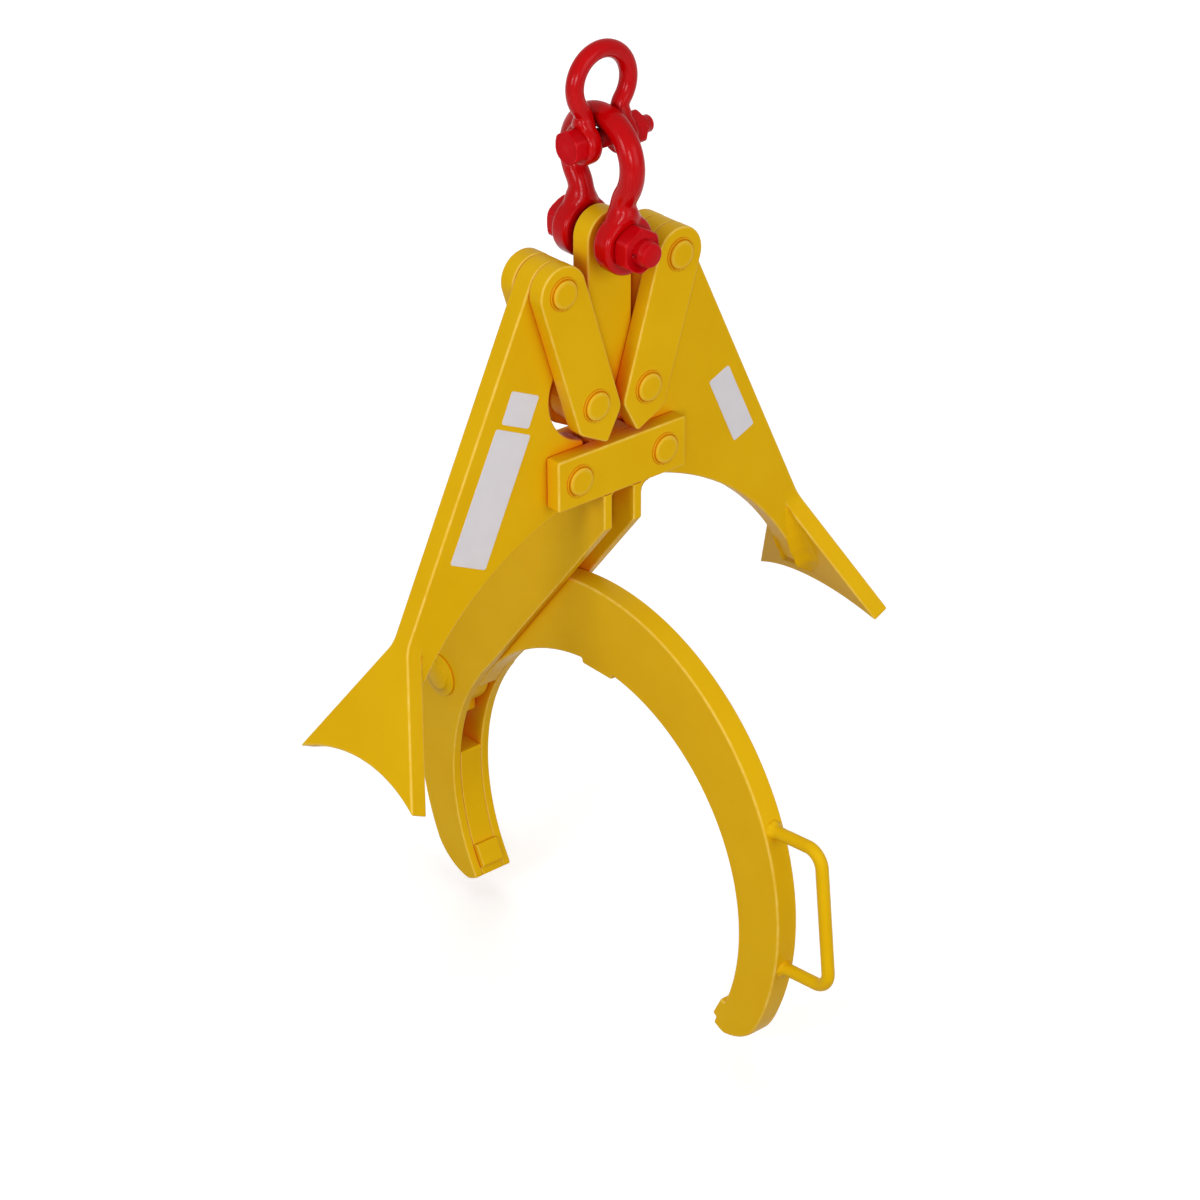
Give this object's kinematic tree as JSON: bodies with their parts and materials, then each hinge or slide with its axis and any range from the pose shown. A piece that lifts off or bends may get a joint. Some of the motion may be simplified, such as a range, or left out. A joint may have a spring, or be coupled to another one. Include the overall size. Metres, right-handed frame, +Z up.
{
  "type": "pipe grab",
  "caption": "Self-closing pipe grab hung from bow shackles, with splayed saddle legs on crossed links and a hinged round hook with a handle.",
  "frame": {"origin": "inside of the upper bow's crown, the point that the grab hangs from", "axes": "+Z up, X along the pipe, the hook opens towards -Y; lengths in metres"},
  "size_m": [0.609, 0.5972, 0.9651],
  "materials": {
    "yellow_paint": "smooth semi-gloss enamel on steel plate",
    "red_paint": "glossy enamel on forged shackles",
    "red_bolt": "duller red on bolts and nuts"
  },
  "bodies": {
    "upper_shackle": {"upper_bow": "red_paint", "upper_bolt": "red_bolt", "upper_nut": "red_bolt"},
    "lower_shackle": {"lower_bow": "red_paint", "lower_bolt": "red_bolt", "lower_nut": "red_bolt"},
    "lifter": {"lifting_plate": "yellow_paint"},
    "links_right": {"link_right_near": "yellow_paint", "link_right_far": "yellow_paint", "top_pin_right": "yellow_paint", "bottom_pin_right": "yellow_paint"},
    "right_leg": {"leg_right": "yellow_paint", "saddle_right": "yellow_paint"},
    "grab_frame": {"crossbar_near": "yellow_paint", "crossbar_far": "yellow_paint", "crossbar_block": "yellow_paint", "leg_pin_left": "yellow_paint", "leg_pin_right": "yellow_paint", "cheek_left": "yellow_paint", "cheek_right": "yellow_paint", "jaw_insert": "yellow_paint", "hook_pin": "yellow_paint", "hook_stop": "yellow_paint"},
    "left_leg": {"leg_left": "yellow_paint", "saddle_left": "yellow_paint"},
    "links_left": {"link_left_near": "yellow_paint", "link_left_far": "yellow_paint", "top_pin_left": "yellow_paint", "bottom_pin_left": "yellow_paint"},
    "swing_hook": {"hook": "yellow_paint", "hook_handle": "yellow_paint"}
  },
  "joints": [
    {"name": "shackle_swing", "type": "hinge", "parent": "upper_shackle", "child": "lower_shackle", "pos_m": [0, 0, -0.0772], "axis": [1, 0, 0], "range_deg": [-90, 90]},
    {"name": "plate_swing", "type": "hinge", "parent": "lower_shackle", "child": "lifter", "pos_m": [0, 0, -0.1709], "axis": [0, 1, 0], "range_deg": [-60, 60]},
    {"name": "grip_fold", "type": "hinge", "parent": "lifter", "child": "links_right", "pos_m": [0.0319, 0, -0.3242], "axis": [0, 1, 0], "range_deg": [-4, 14]},
    {"name": "right_leg_top", "type": "hinge", "parent": "links_right", "child": "right_leg", "pos_m": [0.0706, 0, -0.2013], "axis": [0, 1, 0], "range_deg": [-5.4, 1.6]},
    {"name": "right_leg_pivot", "type": "hinge", "parent": "right_leg", "child": "grab_frame", "pos_m": [0.0527, 0, -0.3949], "axis": [0, 1, 0], "range_deg": [-8.8, 2.6]},
    {"name": "left_leg_pivot", "type": "hinge", "parent": "grab_frame", "child": "left_leg", "pos_m": [-0.0527, 0, -0.3949], "axis": [0, 1, 0], "range_deg": [-8.8, 2.6]},
    {"name": "left_leg_top", "type": "hinge", "parent": "left_leg", "child": "links_left", "pos_m": [-0.0706, 0, -0.2013], "axis": [0, 1, 0], "range_deg": [-5.4, 1.6]},
    {"name": "hook_swing", "type": "hinge", "parent": "grab_frame", "child": "swing_hook", "pos_m": [0, 0.2286, -0.72099], "axis": [-1, 0, 0], "range_deg": [0, 27]}
  ],
  "couplings": [
    {"joint": "right_leg_top", "follows": "grip_fold", "ratio": -0.38},
    {"joint": "right_leg_pivot", "follows": "grip_fold", "ratio": -0.62},
    {"joint": "left_leg_pivot", "follows": "grip_fold", "ratio": -0.62},
    {"joint": "left_leg_top", "follows": "grip_fold", "ratio": -0.38}
  ]
}
